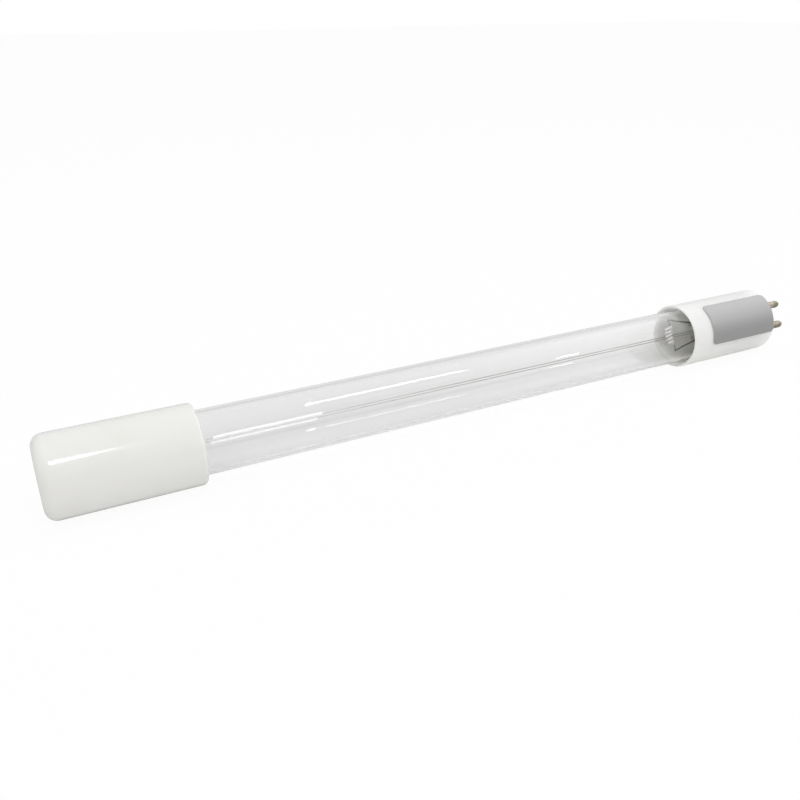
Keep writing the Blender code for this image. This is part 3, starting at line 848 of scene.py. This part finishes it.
world = bpy.data.worlds.new("studio")
bpy.context.scene.world = world
sky = Finish(world, "ShaderNodeOutputWorld")
direction = sky.node("ShaderNodeTexCoord", output="Generated")
aside, ahead, height = (sky.node("ShaderNodeSeparateXYZ", {}, {0: direction}, output=axis)
                        for axis in "XYZ")
window = sky.between(0.3, 0.7, aside) * sky.between(-0.3, 0.6, height)
window = window * (1.0 - sky.between(0.3, 0.7, ahead))
band = sky.between(0.6, 0.9, ahead) * (1.0 - sky.between(0.12, 0.35, height))
room = 0.35 + 0.45 * sky.between(-0.6, 0.5, ahead) + 0.3 * sky.between(0.1, 0.9, height)
room = room + 0.86 * window - BAND_DIMMING * band
straight = sky.on_rays("Camera")
mirrored = sky.on_rays("Glossy", "Transmission") * (1.0 - straight)
soft = (1.0 - straight - mirrored) * (SKY_SIDES + SKY_OVERHEAD * sky.between(0.5, 0.9, height))
strength = straight + mirrored * room + soft
sky.ends_in(sky.node("ShaderNodeBackground", {}, {"Color": (1.0, 1.0, 1.0, 1.0), "Strength": strength}))


def studio_lamp(name, place, aim, width, length, brightness, along=Vector((1.0, 0.0, 0.0))):
    """A rectangular lamp that faces a point of the lamp's axis, with its length along a direction."""
    data = bpy.data.lights.new(name, "AREA")
    data.shape = "RECTANGLE"
    data.size = width
    data.size_y = length
    data.energy = brightness * pi * width * length
    back = (place - Vector((aim, 0.0, 0.0))).normalized()
    long_side = (along - back * along.dot(back)).normalized()
    turn = Matrix((long_side.cross(back), long_side, back)).transposed().to_4x4()
    made = bpy.data.objects.new(name, data)
    made.matrix_world = Matrix.Translation(axis_start + place) @ turn
    bpy.context.scene.collection.objects.link(made)


axis_start = lamp_place.to_translation()
streak_near = Vector((0.36, -0.156, 0.949))     # places are measured from the axis at the closed end
streak_far = Vector((0.585, -0.138, 0.874))
streak_run = streak_far - streak_near
studio_lamp("key", Vector((0.017, -0.469, 0.882)), 0.0, 0.026, 0.074, 145.0)
studio_lamp("key_end", Vector((0.0, -0.469, 0.882)), 0.0, 0.09, 0.034, 90.0)
studio_lamp("tube_streak", (streak_near + streak_far) / 2, 0.085, 0.03, streak_run.length, 34.0, streak_run)
studio_lamp("low_band", Vector((0.302, -0.795, 0.606)), 0.05, 0.18, 0.162, 4.0)
studio_lamp("fleck", Vector((0.845, -0.685, 0.729)), 0.138, 0.035, 0.04, 45.0)
studio_lamp("tube_streak_head", streak_near, 0.061, 0.065, 0.014, 45.0, streak_run)


# The camera
# It looks at the lamp from in front of the closed end and above it, as the photograph does. Its
# place, its turn and its lens were fitted to the lamp's outlines.

CAMERA_PLACE = (3.099, -169.075, 92.55)     # from the axis at the closed end
AZIMUTH = 26.47             # degrees
ELEVATION = 26.255
ROLL = -0.323
FOCAL_PIXELS = 815.94
IMAGE_PIXELS = 800
SENSOR = 36.0

camera_data = bpy.data.cameras.new("camera")
camera_data.sensor_width = SENSOR
camera_data.lens = SENSOR * FOCAL_PIXELS / IMAGE_PIXELS
camera_data.clip_start = 0.01
camera = bpy.data.objects.new("camera", camera_data)
camera.matrix_world = (Matrix.Translation(axis_start + Vector(CAMERA_PLACE) * MM)
                       @ Matrix.Rotation(-radians(AZIMUTH), 4, "Z")
                       @ Matrix.Rotation(pi / 2 - radians(ELEVATION), 4, "X")
                       @ Matrix.Rotation(radians(ROLL), 4, "Z"))
bpy.context.scene.collection.objects.link(camera)
bpy.context.scene.camera = camera
bpy.context.scene.view_settings.view_transform = "Standard"
